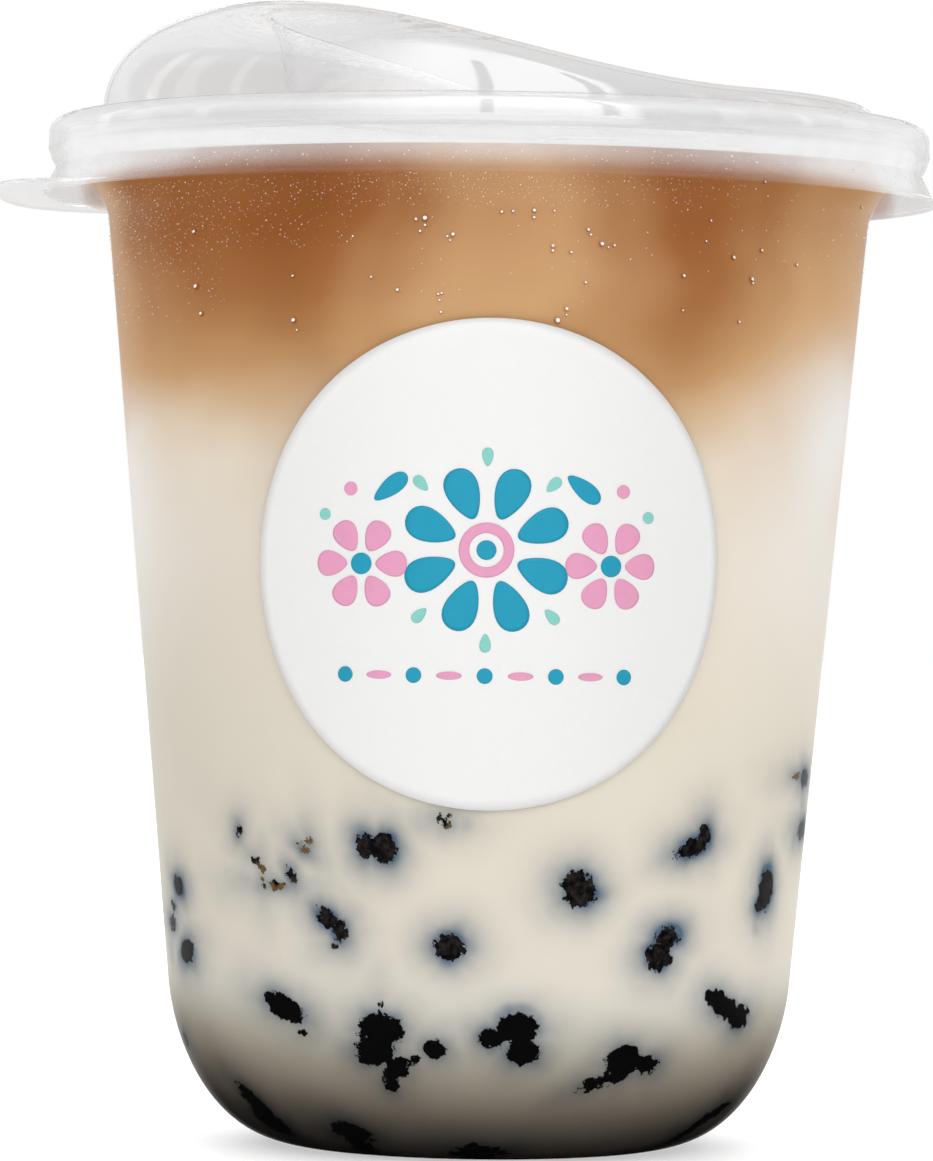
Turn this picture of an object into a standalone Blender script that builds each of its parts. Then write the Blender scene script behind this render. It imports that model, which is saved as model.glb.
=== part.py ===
"""A spanish latte in a clear takeaway cup with a sip lid, in metres, +Z up.

The origin is the centre of the flat base. The round label faces -Y, and the lid's drinking side and
its thumb tab face -X. The cup and the lid are thin shells. The drink is two solids, milk below and
coffee above, a little clear of the wall and of each other.
"""

import math

import bmesh
import bpy

GAP = 0.0003
MERGE = 0.00005
SHARP_ANGLE = math.radians(35)

CUP_WALL = 0.0007
CUP_STEPS = 56
WALL_RADIUS = 0.03363
WALL_RADIUS_HEIGHT = 0.020
WALL_TAPER = 0.091
BASE_RADIUS = 0.0189
CORNER_HEIGHT = 0.0173
CORNER_WALL_PULL = 0.0066
CORNER_BASE_PULL = 0.0097
CORNER_POINTS = 9
SHOULDER_HEIGHT = 0.1000
SHOULDER_FILLET = 0.0010
SHOULDER_TOP = 0.1040
SHOULDER_FLARE = 0.0030
NECK_RADIUS = 0.04455
NECK_HEIGHT = 0.1052
RIM_HEIGHT = 0.1073
RIM_CURL = 0.00035
RIM_CURL_POINTS = 4
RIM_DROP = 0.0013

MILK_TOP = 0.0779
DRINK_TOP = 0.1034
DRINK_STEPS = 48

LABEL_RADIUS = 0.0250
LABEL_HEIGHT = 0.0620
LABEL_TURN = math.radians(0.8)
LABEL_THICKNESS = 0.0003
LABEL_RINGS = 4
LABEL_STEPS = 40

LID_WALL = 0.0006
LID_STEPS = 64
LID_RADIUS = 0.0472
LID_TOP = 0.1093
LID_CORNER = 0.0016
LID_CORNER_POINTS = 4
LID_SIDE_FOOT = 0.1060
LID_BELLY = (0.0469, 0.1050)
LID_WAIST = (0.0464, 0.1041)
SKIRT_FOOT = (0.04775, 0.1014)
SKIRT_LIP = 0.0003
GUTTER_OUTER = 0.0429
GUTTER_FLOOR = 0.1066
GUTTER_CORNER = 0.0007
GUTTER_CORNER_POINTS = 3
GUTTER_FILLET = 0.0004

TAB_CENTRE = 0.030
TAB_REACH = 0.0224
TAB_HALF_WIDTH = 0.028
TAB_SQUARENESS = 3.5
TAB_RINGS = 2
TAB_SEARCH = 0.020
TAB_SEARCH_STEPS = 30

DOME_RADIUS = 0.0415
DOME_BASE = 0.1093
DOME_FULLNESS = 2.37
CREST_CENTRE = 0.008
CREST_LENGTH = 0.0317
CREST_HALF_WIDTH = 0.0363
CREST_LOW = 0.1113
CREST_RISE = 0.0098
CREST_FALL_START = -0.0285
CREST_FALL_LENGTH = 0.0546
WELL_FLOOR = 0.1104
WELL_FLAT = 0.80
WELL_SHARES = (0.0, 0.55, WELL_FLAT, 0.86, 0.91, 0.96, 1.0)
DOME_SHARES = (0.3, 0.55, 0.75, 0.9, 0.97, 1.0)

CLEAR = (0.93, 0.94, 0.94)
MILK = (0.78, 0.70, 0.58)
COFFEE = (0.36, 0.15, 0.05)
PAPER = (0.90, 0.90, 0.91)


def smooth_step(value):
    """0 below 0 and 1 above 1, with an S-shaped rise between."""
    value = min(max(value, 0.0), 1.0)
    return value * value * (3 - 2 * value)


def wall_radius(height):
    """The cup wall's outer radius at a height on its straight part."""
    return WALL_RADIUS + WALL_TAPER * (height - WALL_RADIUS_HEIGHT)


def arc(centre, radius, start, end, points):
    """Points of an arc, with the angles in degrees."""
    angles = [math.radians(start + (end - start) * i / (points - 1)) for i in range(points)]
    return [(centre[0] + radius * math.cos(a), centre[1] + radius * math.sin(a)) for a in angles]


def corner_profile():
    """The cup's round lower corner, from the wall down to the flat base, as one cubic curve."""
    top = (wall_radius(CORNER_HEIGHT), CORNER_HEIGHT)
    slant = math.hypot(WALL_TAPER, 1)
    wall_pull = (top[0] - CORNER_WALL_PULL * WALL_TAPER / slant, top[1] - CORNER_WALL_PULL / slant)
    base_pull = (BASE_RADIUS + CORNER_BASE_PULL, 0.0)
    foot = (BASE_RADIUS, 0.0)
    points = []
    for i in range(CORNER_POINTS):
        t = i / (CORNER_POINTS - 1)
        weights = ((1 - t) ** 3, 3 * t * (1 - t) ** 2, 3 * t * t * (1 - t), t**3)
        pulls = (top, wall_pull, base_pull, foot)
        points.append(tuple(sum(w * p[axis] for w, p in zip(weights, pulls)) for axis in (0, 1)))
    return points


def shoulder_profile():
    """The stacking shoulder's flare, from the neck down to the straight wall."""
    foot = wall_radius(SHOULDER_HEIGHT)
    slope = SHOULDER_FLARE / (SHOULDER_TOP - SHOULDER_HEIGHT)
    low = SHOULDER_HEIGHT - SHOULDER_FILLET
    high = SHOULDER_HEIGHT + SHOULDER_FILLET
    flare = (foot + SHOULDER_FLARE, SHOULDER_TOP)
    above = (foot + SHOULDER_FILLET * slope, high)
    return [(NECK_RADIUS, NECK_HEIGHT), flare, above, (wall_radius(low), low)]


def cup_profile():
    """The cup's outer face from the tip of the rolled rim to the middle of the base."""
    curl_centre = (NECK_RADIUS + RIM_CURL, RIM_HEIGHT)
    tip = (NECK_RADIUS + 2 * RIM_CURL, RIM_HEIGHT - RIM_DROP)
    curl = arc(curl_centre, RIM_CURL, 0, 180, RIM_CURL_POINTS)
    return [tip, *curl, *shoulder_profile(), *corner_profile(), (0.0, 0.0)]


def inner_face(profile, distance):
    """The profile moved inwards by a distance, square to itself."""
    moved = []
    for i, (radius, height) in enumerate(profile):
        before = profile[max(i - 1, 0)]
        after = profile[min(i + 1, len(profile) - 1)]
        along = (after[0] - before[0], after[1] - before[1])
        length = math.hypot(*along)
        inwards = (along[1] / length, -along[0] / length)
        moved.append((max(radius + distance * inwards[0], 0.0), height + distance * inwards[1]))
    return moved


def cut_profile(profile, low, high):
    """The part of a falling profile between two heights, closed to the axis at both ends."""
    points = [(0.0, high)]
    for (r0, z0), (r1, z1) in zip(profile, profile[1:]):
        for level in (high, low):
            if z1 < level < z0:
                points.append((r0 + (r1 - r0) * (z0 - level) / (z0 - z1), level))
        if low < z1 < high:
            points.append((r1, z1))
    if points[-1][0] > 0:
        points.append((0.0, max(low, profile[-1][1])))
    return points


def new_object(name, mesh, colour, roughness, see_through=0.0):
    """An object with its own Principled material, in the object's collection."""
    material = bpy.data.materials.new(name)
    material.use_nodes = True
    shader = material.node_tree.nodes["Principled BSDF"]
    shader.inputs["Base Color"].default_value = (*colour, 1.0)
    shader.inputs["Roughness"].default_value = roughness
    shader.inputs["Metallic"].default_value = 0.0
    shader.inputs["Transmission Weight"].default_value = see_through
    mesh.materials.append(material)
    made = bpy.data.objects.new(name, mesh)
    collection.objects.link(made)
    return made


def shade_smooth(mesh):
    mesh.shade_smooth()
    mesh.set_sharp_from_angle(angle=SHARP_ANGLE)


def turned(name, profile, steps, colour, roughness, see_through=0.0):
    """A profile turned round the Z axis. The profile runs down the outer side."""
    mesh = bpy.data.meshes.new(name)
    edges = [(i, i + 1) for i in range(len(profile) - 1)]
    mesh.from_pydata([(r, 0.0, z) for r, z in profile], edges, [])
    made = new_object(name, mesh, colour, roughness, see_through)
    screw = made.modifiers.new("Turn", "SCREW")
    screw.axis = "Z"
    screw.angle = math.tau
    screw.steps = steps
    screw.render_steps = steps
    screw.use_merge_vertices = True
    screw.merge_threshold = MERGE
    screw.use_smooth_shade = True
    return made


def thicken(made, thickness, offset):
    """Gives an open surface its wall: offset -1 grows it inwards and 1 outwards."""
    solidify = made.modifiers.new("Wall", "SOLIDIFY")
    solidify.thickness = thickness
    solidify.offset = offset
    solidify.use_even_offset = True
    solidify.use_rim = True


def turned_grid(rings, steps, place):
    """A disc of rings, one unit apart till each vertex is moved to place(ring, angle)."""
    grid = bmesh.new()
    spokes = [grid.verts.new((float(ring), 0.0, 0.0)) for ring in range(rings + 1)]
    edges = [grid.edges.new(pair) for pair in zip(spokes, spokes[1:])]
    bmesh.ops.spin(grid, geom=spokes + edges, cent=(0, 0, 0), axis=(0, 0, 1),
                   angle=math.tau, steps=steps, use_merge=True, use_normal_flip=True)
    bmesh.ops.remove_doubles(grid, verts=grid.verts, dist=MERGE)
    for vert in grid.verts:
        ring = round(math.hypot(vert.co.x, vert.co.y))
        vert.co = place(ring, math.atan2(vert.co.y, vert.co.x))
    bmesh.ops.recalc_face_normals(grid, faces=grid.faces)
    return grid


def mesh_of(name, grid):
    mesh = bpy.data.meshes.new(name)
    grid.to_mesh(mesh)
    grid.free()
    shade_smooth(mesh)
    return mesh


def crest_height(x):
    """The crest falls in an S from the drinking side to the low side."""
    fallen = smooth_step((x - CREST_FALL_START) / CREST_FALL_LENGTH)
    return CREST_LOW + CREST_RISE * (1 - fallen)


def crest_distance(angle):
    """How far the crest's oval lies from the well's centre in a direction."""
    across = math.hypot(math.cos(angle) / CREST_LENGTH, math.sin(angle) / CREST_HALF_WIDTH)
    return 1 / across


def dome_distance(angle):
    """How far the dome's round wall lies from the well's centre in a direction."""
    along = CREST_CENTRE * math.cos(angle)
    return -along + math.sqrt(along**2 - CREST_CENTRE**2 + DOME_RADIUS**2)


def well_point(share, angle):
    """A point inside the crest: a flat floor, then an S-shaped wall up to the crest."""
    distance = share * crest_distance(angle)
    x = CREST_CENTRE + distance * math.cos(angle)
    crest = crest_height(CREST_CENTRE + crest_distance(angle) * math.cos(angle))
    rise = smooth_step((share - WELL_FLAT) / (1 - WELL_FLAT))
    return (x, distance * math.sin(angle), WELL_FLOOR + (crest - WELL_FLOOR) * rise)


def dome_point(share, angle):
    """A point between the crest and the dome's wall, on a full rounded slope."""
    near = crest_distance(angle)
    distance = near + share * (dome_distance(angle) - near)
    x = CREST_CENTRE + distance * math.cos(angle)
    drop = (1 - share**DOME_FULLNESS) ** (1 / DOME_FULLNESS)
    return (x, distance * math.sin(angle), DOME_BASE + (crest_height(x) - DOME_BASE) * drop)


def tab_radius(turn):
    """How far out the skirt's foot and its thumb tab reach in a direction from the cup's axis."""
    low, high = SKIRT_FOOT[0], SKIRT_FOOT[0] + TAB_SEARCH
    for _ in range(TAB_SEARCH_STEPS):
        middle = (low + high) / 2
        along = abs(middle * math.cos(turn) + TAB_CENTRE) / TAB_REACH
        across = abs(middle * math.sin(turn)) / TAB_HALF_WIDTH
        inside = math.cos(turn) < 0 and along**TAB_SQUARENESS + across**TAB_SQUARENESS < 1
        low, high = (middle, high) if inside else (low, middle)
    return low


def lid_profile():
    """The lid's upper face outside the dome: gutter, ring, waist and skirt."""
    outer_centre = (LID_RADIUS - LID_CORNER, LID_TOP - LID_CORNER)
    inner_centre = (GUTTER_OUTER + GUTTER_CORNER, LID_TOP - GUTTER_CORNER)
    return [
        (DOME_RADIUS, GUTTER_FLOOR + GUTTER_FILLET),
        (DOME_RADIUS + GUTTER_FILLET, GUTTER_FLOOR),
        (GUTTER_OUTER - GUTTER_FILLET, GUTTER_FLOOR),
        (GUTTER_OUTER, GUTTER_FLOOR + GUTTER_FILLET),
        *arc(inner_centre, GUTTER_CORNER, 180, 100, GUTTER_CORNER_POINTS),
        *arc(outer_centre, LID_CORNER, 80, 10, LID_CORNER_POINTS),
        (LID_RADIUS, LID_SIDE_FOOT),
        LID_BELLY,
        LID_WAIST,
        SKIRT_FOOT,
    ]


def lid_point(ring, angle, profile):
    """Where a vertex of the lid's grid goes, from the well's centre out to the edge of the tab."""
    if ring < len(WELL_SHARES):
        return well_point(WELL_SHARES[ring], angle)
    ring -= len(WELL_SHARES)
    if ring < len(DOME_SHARES):
        return dome_point(DOME_SHARES[ring], angle)
    ring -= len(DOME_SHARES)
    edge = dome_distance(angle)
    turn = math.atan2(edge * math.sin(angle), CREST_CENTRE + edge * math.cos(angle))
    if ring < len(profile):
        radius, height = profile[ring]
    else:
        share = (ring - len(profile) + 1) / TAB_RINGS
        radius, height = SKIRT_FOOT
        radius += (tab_radius(turn) - radius + SKIRT_LIP) * share
    return (radius * math.cos(turn), radius * math.sin(turn), height)


def make_cup():
    cup = turned("cup", cup_profile(), CUP_STEPS, CLEAR, 0.1, 0.9)
    thicken(cup, CUP_WALL, -1)


def make_drink():
    inside = inner_face(cup_profile(), CUP_WALL + GAP)
    milk = cut_profile(inside, 0.0, MILK_TOP)
    coffee = cut_profile(inside, MILK_TOP + GAP, DRINK_TOP)
    turned("milk_layer", milk, DRINK_STEPS, MILK, 0.3)
    turned("coffee_layer", coffee, DRINK_STEPS, COFFEE, 0.3)


def make_lid():
    profile = lid_profile()
    rings = len(WELL_SHARES) + len(DOME_SHARES) + len(profile) + TAB_RINGS - 1
    grid = turned_grid(rings, LID_STEPS, lambda ring, angle: lid_point(ring, angle, profile))
    lid = new_object("lid", mesh_of("lid", grid), CLEAR, 0.15, 0.85)
    thicken(lid, LID_WALL, -1)


def label_point(ring, angle):
    """Wraps a flat disc round the cup's sloping wall, level rows staying level."""
    flat = LABEL_RADIUS * ring / LABEL_RINGS
    slant = math.hypot(WALL_TAPER, 1)
    height = LABEL_HEIGHT + flat * math.cos(angle) / slant
    radius = wall_radius(height) + GAP
    turn = flat * math.sin(angle) / radius + LABEL_TURN - math.pi / 2
    return (radius * math.cos(turn), radius * math.sin(turn), height)


def make_label():
    grid = turned_grid(LABEL_RINGS, LABEL_STEPS, label_point)
    label = new_object("label", mesh_of("label", grid), PAPER, 0.5)
    thicken(label, LABEL_THICKNESS, 1)


for old in list(bpy.data.objects):
    bpy.data.objects.remove(old, do_unlink=True)
collection = bpy.data.collections.new("spanish_latte")
bpy.context.scene.collection.children.link(collection)
make_cup()
make_drink()
make_lid()
make_label()
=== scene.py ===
"""A spanish latte with tapioca pearls in a clear lidded cup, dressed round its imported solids, in metres."""

import math
import random

import bmesh
import bpy
import numpy as np
from mathutils import Matrix, Vector


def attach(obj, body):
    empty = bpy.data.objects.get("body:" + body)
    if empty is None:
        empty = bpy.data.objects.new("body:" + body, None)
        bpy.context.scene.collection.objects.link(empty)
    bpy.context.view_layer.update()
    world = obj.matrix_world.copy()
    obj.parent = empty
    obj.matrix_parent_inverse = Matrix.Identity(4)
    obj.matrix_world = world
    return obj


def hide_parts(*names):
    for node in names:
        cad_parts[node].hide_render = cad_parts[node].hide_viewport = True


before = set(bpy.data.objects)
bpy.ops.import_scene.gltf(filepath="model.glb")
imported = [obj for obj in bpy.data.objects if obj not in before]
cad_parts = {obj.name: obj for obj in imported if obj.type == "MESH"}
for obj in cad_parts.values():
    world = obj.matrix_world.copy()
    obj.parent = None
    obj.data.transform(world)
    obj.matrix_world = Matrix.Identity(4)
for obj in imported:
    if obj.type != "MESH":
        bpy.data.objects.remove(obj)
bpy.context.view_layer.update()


# The studio: a pale floor under even, soft white light. The camera stands level in front of the cup, far
# back. What the clear plastic mirrors and bends is a softer grey than the backdrop, with one tall window
# in front, so that its edges and folds show against white.
CAMERA_PLACE = (-0.00185, -0.633, 0.0604)
CAMERA_ROLL = math.radians(-0.73)
CAMERA_NEAR_FAR = (0.05, 20)
FIELD_OF_VIEW = math.radians(11.26)
WHITE = (1, 1, 1, 1)
FLOOR_HALF_SIZE = 4.0
FLOOR_COLOUR = (0.93, 0.93, 0.93, 1)
FLOOR_GLOW = 0.50
FLOOR_GLOW_ON_CUP = 0.13
BACKDROP = 1.0
BENT_SURROUND = 0.77

# The light: an even surround, a window in front between two turns in degrees, and a lighter back and top.
SURROUND = 0.45
WINDOW_GLOW = 1.36
WINDOW_SIDES = (-38, 38)
WINDOW_LOW_HIGH = (-0.05, 0.60)
WINDOW_SOFTNESS = (0.06, 0.06)
BACK_GLOW = 0.64
BACK_FROM_TO = (-0.05, 0.55)
TOP_GLOW = 0.30
TOP_FROM_TO = (0.45, 0.90)

# What gloss mirrors: dark in front and light behind, with a window whose sides fade between two turns,
# whose upper panes are brighter, and which nothing below the horizon shows.
MIRRORED_FRONT = 0.015
MIRRORED_BACK = 0.95
MIRRORED_BACK_FROM_TO = (-0.55, 0.45)
MIRRORED_WINDOW = 2.9
MIRRORED_LEFT = (math.radians(-58), math.radians(-14))
MIRRORED_RIGHT = (math.radians(41), math.radians(35))
MIRRORED_LOW_HIGH = (-0.14, 0.97)
MIRRORED_UPPER_PANES = 0.75
UPPER_PANES_FROM_TO = (-0.04, 0.03)
MIRRORED_FROM = (-0.36, -0.10)

# The mirrored window's bars, and the strip lights beside the cup: their turns in degrees, and their glow.
MULLIONS = ((-3.2, 1.2), (29, 33))
MULLION_LOW_HIGH = (0.06, 0.75)
MULLION_SOFTNESS = (0.012, 0.01)
SIDE_STRIPS = ((-122, -116, 1.6), (-108, -98, 0.9), (-82, -78, 1.3), (-61, -40, 0.18), (62, 70, 1.2),
               (88, 92, 1.6), (104, 116, 0.8))
STRIP_LOW_HIGH = (-0.02, 0.5)
STRIP_SOFTNESS = (0.02, 0.03)


def add(tree, kind, inputs=None, **settings):
    """A shader node with its settings and its inputs, each a value or another node's output."""
    made = tree.nodes.new("ShaderNode" + kind)
    for name, value in settings.items():
        setattr(made, name, value)
    for name, value in (inputs or {}).items():
        if isinstance(value, bpy.types.NodeSocket):
            tree.links.new(value, made.inputs[name])
        else:
            made.inputs[name].default_value = value
    return made


def calc(tree, operation, *values, clamp=False):
    made = add(tree, "Math", dict(enumerate(values)), operation=operation)
    made.use_clamp = clamp
    return made.outputs[0]


def times(tree, value, *others):
    for other in others:
        value = calc(tree, "MULTIPLY", value, other)
    return value


def line(tree, value, slope, base, clamp=False):
    """The value times a slope, plus a base."""
    return calc(tree, "MULTIPLY_ADD", value, slope, base, clamp=clamp)


def rise(tree, value, low, high):
    """0 where a value is at low and 1 where it is at high, with a smooth S between."""
    made = add(tree, "MapRange", {"Value": value, "From Min": low, "From Max": high},
               interpolation_type="SMOOTHSTEP")
    return made.outputs["Result"]


def band(tree, value, low, high, softness):
    """1 between two values and 0 outside them, with soft edges."""
    return times(tree, rise(tree, value, low - softness, low + softness),
                 rise(tree, value, high + softness, high - softness))


def pane(tree, turn, height, sides, low_high, softness):
    """1 on an upright pane between two turns in degrees and two heights, and 0 round it."""
    return times(tree, band(tree, turn, *map(math.radians, sides), softness[0]),
                 band(tree, height, *low_high, softness[1]))


def light_round(tree, way, turn):
    window = pane(tree, turn, way["Z"], WINDOW_SIDES, WINDOW_LOW_HIGH, WINDOW_SOFTNESS)
    lit = line(tree, window, WINDOW_GLOW, SURROUND)
    lit = line(tree, rise(tree, way["Y"], *BACK_FROM_TO), BACK_GLOW, lit)
    return line(tree, rise(tree, way["Z"], *TOP_FROM_TO), TOP_GLOW, lit)


def mirrored_round(tree, way, turn):
    panes = times(tree, rise(tree, turn, *MIRRORED_LEFT), rise(tree, turn, *MIRRORED_RIGHT),
                  band(tree, way["Z"], *MIRRORED_LOW_HIGH, WINDOW_SOFTNESS[1]))
    for sides in MULLIONS:
        bar = pane(tree, turn, way["Z"], sides, MULLION_LOW_HIGH, MULLION_SOFTNESS)
        panes = calc(tree, "SUBTRACT", panes, bar, clamp=True)
    upper = line(tree, rise(tree, way["Z"], *UPPER_PANES_FROM_TO), MIRRORED_UPPER_PANES, 1.0)
    mirrored = line(tree, rise(tree, way["Y"], *MIRRORED_BACK_FROM_TO), MIRRORED_BACK - MIRRORED_FRONT,
                    MIRRORED_FRONT)
    mirrored = line(tree, times(tree, panes, upper), MIRRORED_WINDOW, mirrored)
    for low, high, glow in SIDE_STRIPS:
        strip = pane(tree, turn, way["Z"], (low, high), STRIP_LOW_HIGH, STRIP_SOFTNESS)
        mirrored = line(tree, strip, glow, mirrored)
    return times(tree, mirrored, rise(tree, way["Z"], *MIRRORED_FROM))


def make_studio():
    world = bpy.data.worlds.new("soft studio")
    bpy.context.scene.world = world
    world.use_nodes = True
    tree = world.node_tree
    tree.nodes.clear()
    way = add(tree, "SeparateXYZ", {0: add(tree, "TexCoord").outputs["Generated"]}).outputs
    turn = calc(tree, "ARCTAN2", way["X"], times(tree, way["Y"], -1.0))
    path = add(tree, "LightPath").outputs
    strength = light_round(tree, way, turn)
    for kind, value in (("Is Glossy Ray", mirrored_round(tree, way, turn)),
                        ("Is Transmission Ray", BENT_SURROUND), ("Is Camera Ray", BACKDROP)):
        mix = add(tree, "Mix", {0: path[kind], 2: strength, 3: value}, data_type="FLOAT")
        strength = mix.outputs[0]
    back = add(tree, "Background", {"Color": WHITE, "Strength": strength})
    add(tree, "OutputWorld", {"Surface": back.outputs[0]})


def new_material(name):
    material = bpy.data.materials.new(name)
    material.use_nodes = True
    material.node_tree.nodes.clear()
    return material, material.node_tree


def show(tree, shader):
    add(tree, "OutputMaterial", {"Surface": shader.outputs[0]})


def mesh_of(name, grid):
    mesh = bpy.data.meshes.new(name)
    grid.to_mesh(mesh)
    grid.free()
    return mesh


def stand(name, data):
    made = bpy.data.objects.new(name, data)
    bpy.context.scene.collection.objects.link(made)
    return made


def make_floor():
    grid = bmesh.new()
    bmesh.ops.create_grid(grid, x_segments=1, y_segments=1, size=FLOOR_HALF_SIZE)
    floor = stand("floor", mesh_of("floor", grid))
    material, tree = new_material("pale floor")
    glow = add(tree, "Mix", {0: add(tree, "LightPath").outputs["Is Diffuse Ray"], 2: FLOOR_GLOW,
                             3: FLOOR_GLOW_ON_CUP}, data_type="FLOAT").outputs[0]
    show(tree, add(tree, "BsdfPrincipled", {
        "Base Color": FLOOR_COLOUR, "Roughness": 0.6,
        "Emission Color": WHITE, "Emission Strength": glow}))
    floor.data.materials.append(material)
    floor.visible_glossy = False


def make_camera():
    camera = bpy.data.cameras.new("camera")
    camera.angle = FIELD_OF_VIEW
    camera.clip_start, camera.clip_end = CAMERA_NEAR_FAR
    holder = stand("camera", camera)
    level = Matrix.Rotation(math.pi / 2, 4, "X")
    roll = Matrix.Rotation(CAMERA_ROLL, 4, "Y")
    holder.matrix_world = Matrix.Translation(CAMERA_PLACE) @ roll @ level
    bpy.context.scene.camera = holder


bpy.context.scene.view_settings.view_transform = "Standard"
bpy.context.scene.view_settings.look = "None"
make_studio()
make_floor()
make_camera()


# The cup: thermoformed clear polypropylene, drawn into a round lower corner, with a stepped shoulder
# for stacking and a rolled rim. Its wall is about 0.4 mm thick.
CUP_WALL = 0.0004
CUP_STEPS = 200
WALL_RADIUS = 0.03363
WALL_RADIUS_HEIGHT = 0.020
WALL_TAPER = 0.091
BASE_RADIUS = 0.0189
CORNER_HEIGHT = 0.0173
CORNER_WALL_PULL = 0.0066
CORNER_BASE_PULL = 0.0097
CORNER_POINTS = 30
SHOULDER_HEIGHT = 0.1000
SHOULDER_FILLET = 0.0010
SHOULDER_TOP = 0.1040
SHOULDER_FLARE = 0.0030
SHOULDER_ROUNDING = 0.3
NECK_RADIUS = 0.04455
NECK_HEIGHT = 0.1052
RIM_HEIGHT = 0.1073
RIM_CURL = 0.00035
RIM_CURL_POINTS = 8
RIM_DROP = 0.0013
WALL_HEIGHTS = (0.08, 0.06, 0.045, 0.025)
SEAM_MERGE = 1e-7
SMOOTH_TO = math.radians(40)
CUP_TINT = (0.99, 0.99, 0.99, 1)

# How much a clear wall mirrors: the share face on, how much is added towards its edges, and how late.
CUP_GLOSS = (0.0015, 0.35, 5.0)


def srgb(red, green, blue):
    """A screen colour of 0 to 255 as the linear colour that a shader takes."""
    def linear(value):
        value /= 255
        return value / 12.92 if value <= 0.04045 else ((value + 0.055) / 1.055) ** 2.4
    return (linear(red), linear(green), linear(blue), 1.0)


def wall_radius(height):
    return WALL_RADIUS + WALL_TAPER * (height - WALL_RADIUS_HEIGHT)


def arc(centre, radius, start, end, points):
    angles = [math.radians(start + (end - start) * i / (points - 1)) for i in range(points)]
    return [(centre[0] + radius * math.cos(a), centre[1] + radius * math.sin(a)) for a in angles]


def corner_profile():
    """The cup's round lower corner, from the wall down to the flat base, as one cubic curve."""
    top = Vector((wall_radius(CORNER_HEIGHT), CORNER_HEIGHT))
    down = Vector((-WALL_TAPER, -1)).normalized()
    foot = Vector((BASE_RADIUS, 0))
    pulls = (top, top + CORNER_WALL_PULL * down, foot + Vector((CORNER_BASE_PULL, 0)), foot)
    points = []
    for i in range(CORNER_POINTS):
        t = i / (CORNER_POINTS - 1)
        weights = ((1 - t) ** 3, 3 * t * (1 - t) ** 2, 3 * t * t * (1 - t), t**3)
        points.append(tuple(sum((w * p for w, p in zip(weights, pulls)), Vector((0, 0)))))
    return points


def cup_profile():
    """The cup's outer face, from the tip of the rolled rim to the middle of the base."""
    foot = wall_radius(SHOULDER_HEIGHT)
    slope = SHOULDER_FLARE / (SHOULDER_TOP - SHOULDER_HEIGHT)
    low = SHOULDER_HEIGHT - SHOULDER_FILLET
    shoulder = [(NECK_RADIUS, NECK_HEIGHT), (foot + SHOULDER_FLARE, SHOULDER_TOP),
                (foot + SHOULDER_FILLET * slope, SHOULDER_HEIGHT + SHOULDER_FILLET),
                (foot + SHOULDER_FILLET * slope * SHOULDER_ROUNDING, SHOULDER_HEIGHT),
                (wall_radius(low), low)]
    tip = (NECK_RADIUS + 2 * RIM_CURL, RIM_HEIGHT - RIM_DROP)
    curl = arc((NECK_RADIUS + RIM_CURL, RIM_HEIGHT), RIM_CURL, 0, 180, RIM_CURL_POINTS)
    wall = [(wall_radius(height), height) for height in WALL_HEIGHTS]
    return [tip, *curl, *shoulder, *wall, *corner_profile(), (0.0, 0.0)]


def inner_face(profile, distance):
    """The profile moved inwards by a distance, square to itself."""
    moved = []
    for i, (radius, height) in enumerate(profile):
        before = profile[max(i - 1, 0)]
        after = profile[min(i + 1, len(profile) - 1)]
        along = Vector(after) - Vector(before)
        inwards = Vector((along.y, -along.x)).normalized() * distance
        moved.append((max(radius + inwards.x, 0.0), height + inwards.y))
    return moved


def face_away(grid, way=None):
    """Turns every face the same way: along a direction, or else away from the object's middle."""
    bmesh.ops.recalc_face_normals(grid, faces=grid.faces)
    away = sum(face.normal.dot(way or face.calc_center_median()) * face.calc_area() for face in grid.faces)
    if away < 0:
        bmesh.ops.reverse_faces(grid, faces=grid.faces)


def spin(grid, places, steps, merge):
    """Spins a row of points round the Z axis into faces, and merges the seam and the poles."""
    verts = [grid.verts.new(place) for place in places]
    edges = [grid.edges.new(pair) for pair in zip(verts, verts[1:])]
    bmesh.ops.spin(grid, geom=verts + edges, cent=(0, 0, 0), axis=(0, 0, 1), dvec=(0, 0, 0),
                   angle=math.tau, steps=steps, use_merge=True)
    bmesh.ops.remove_doubles(grid, verts=grid.verts, dist=merge)


def turned(profile, steps):
    """A profile of radii and heights, turned into a closed skin or a bowl."""
    grid = bmesh.new()
    spin(grid, [(radius, 0, height) for radius, height in profile], steps, SEAM_MERGE)
    face_away(grid)
    return grid


def make_piece(name, grid, material):
    """A finished piece at the origin, smooth but for its sharp folds, riding on the one body."""
    piece = stand(name, mesh_of(name, grid))
    piece.data.shade_smooth()
    piece.data.set_sharp_from_angle(angle=SMOOTH_TO)
    piece.data.materials.append(material)
    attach(piece, "root")
    return piece


def thicken(piece, thickness, grown=-1, even=True):
    """Gives an open sheet its wall, grown inwards at -1 and outwards at 1."""
    wall = piece.modifiers.new("wall", "SOLIDIFY")
    wall.thickness = thickness
    wall.offset = grown
    wall.use_even_offset = even


def edge_gloss(tree, gloss):
    """How much a clear wall mirrors, which grows towards its edges."""
    edge = calc(tree, "POWER", add(tree, "LayerWeight", {"Blend": 0.5}).outputs["Facing"], gloss[2])
    return line(tree, edge, gloss[1], gloss[0])


def layered(tree, share, under, over):
    """A share of one shader over another."""
    return add(tree, "MixShader", {0: share, 1: under.outputs[0], 2: over.outputs[0]})


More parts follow.
